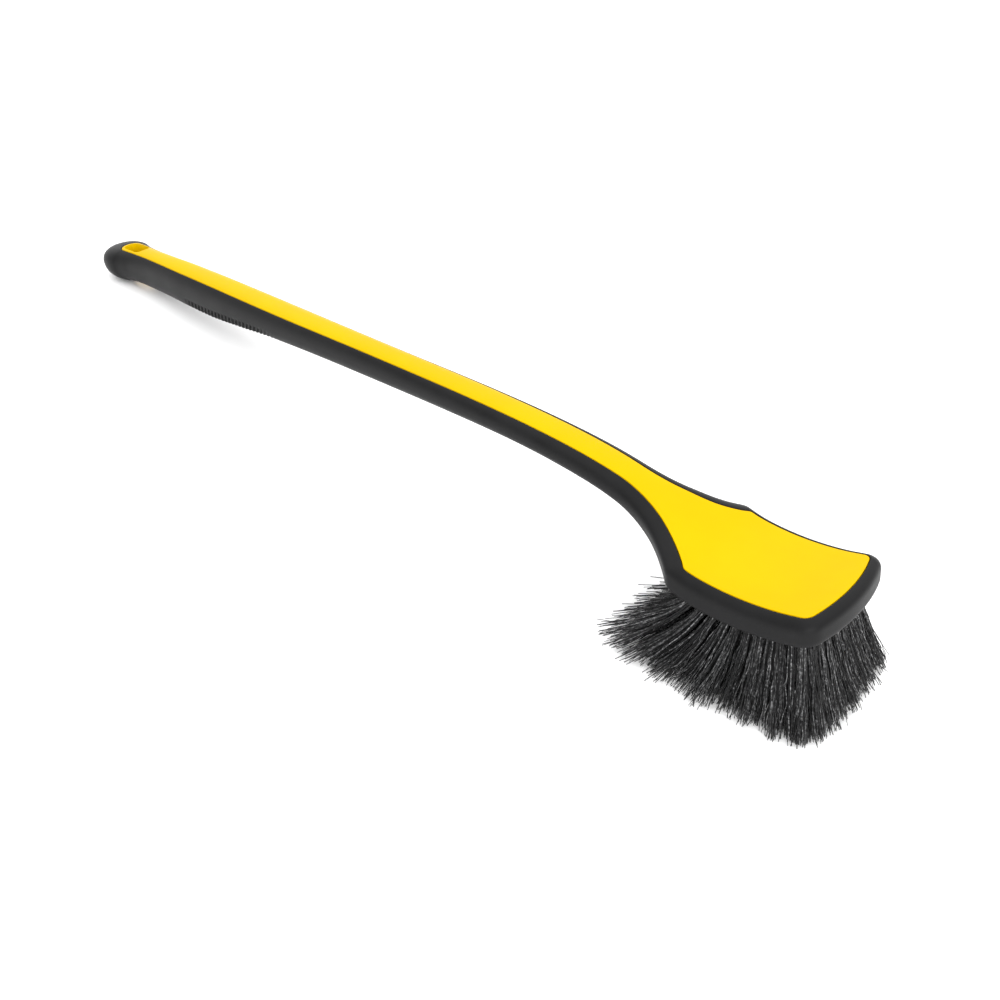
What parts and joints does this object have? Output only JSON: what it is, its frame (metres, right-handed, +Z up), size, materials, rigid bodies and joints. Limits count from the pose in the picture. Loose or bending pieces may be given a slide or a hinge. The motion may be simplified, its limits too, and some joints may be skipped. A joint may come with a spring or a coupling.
{
  "type": "wheel brush",
  "caption": "Long-handled wheel cleaning brush: slim moulded handle with a soft overmoulded grip and rim, a small rectangular head and dark flared bristles.",
  "frame": {"origin": "centre of the footprint's bounding box, on the surface that the brush stands on with its grip end and its bristle tips", "axes": "+X forward along the handle towards the head, +Y across, +Z up away from the bristle tips"},
  "size_m": [0.538, 0.0832, 0.0591],
  "materials": {
    "yellow_plastic": "smooth satin-gloss moulded polypropylene",
    "black_rubber": "fine matte soft-touch overmould",
    "black_filament": "drawn polymer filament with a slight sheen",
    "anchor_wire": "drawn flat wire"
  },
  "bodies": {
    "root": {"handle_core": "yellow_plastic", "grip_overmould": "black_rubber", "tuft_row1_1": "black_filament", "anchor_row1_1": "anchor_wire", "tuft_row1_2": "black_filament", "anchor_row1_2": "anchor_wire", "tuft_row1_3": "black_filament", "anchor_row1_3": "anchor_wire", "tuft_row1_4": "black_filament", "anchor_row1_4": "anchor_wire", "tuft_row2_1": "black_filament", "anchor_row2_1": "anchor_wire", "tuft_row2_2": "black_filament", "anchor_row2_2": "anchor_wire", "tuft_row2_3": "black_filament", "anchor_row2_3": "anchor_wire", "tuft_row2_4": "black_filament", "anchor_row2_4": "anchor_wire", "tuft_row3_1": "black_filament", "anchor_row3_1": "anchor_wire", "tuft_row3_2": "black_filament", "anchor_row3_2": "anchor_wire", "tuft_row3_3": "black_filament", "anchor_row3_3": "anchor_wire", "tuft_row3_4": "black_filament", "anchor_row3_4": "anchor_wire", "tuft_row4_1": "black_filament", "anchor_row4_1": "anchor_wire", "tuft_row4_2": "black_filament", "anchor_row4_2": "anchor_wire", "tuft_row4_3": "black_filament", "anchor_row4_3": "anchor_wire", "tuft_row4_4": "black_filament", "anchor_row4_4": "anchor_wire", "tuft_row5_1": "black_filament", "anchor_row5_1": "anchor_wire", "tuft_row5_2": "black_filament", "anchor_row5_2": "anchor_wire", "tuft_row5_3": "black_filament", "anchor_row5_3": "anchor_wire", "tuft_row5_4": "black_filament", "anchor_row5_4": "anchor_wire", "tuft_row6_1": "black_filament", "anchor_row6_1": "anchor_wire", "tuft_row6_2": "black_filament", "anchor_row6_2": "anchor_wire", "tuft_row6_3": "black_filament", "anchor_row6_3": "anchor_wire", "tuft_row6_4": "black_filament", "anchor_row6_4": "anchor_wire", "tuft_row7_1": "black_filament", "anchor_row7_1": "anchor_wire", "tuft_row7_2": "black_filament", "anchor_row7_2": "anchor_wire", "tuft_row7_3": "black_filament", "anchor_row7_3": "anchor_wire", "tuft_row7_4": "black_filament", "anchor_row7_4": "anchor_wire"}
  },
  "joints": []
}
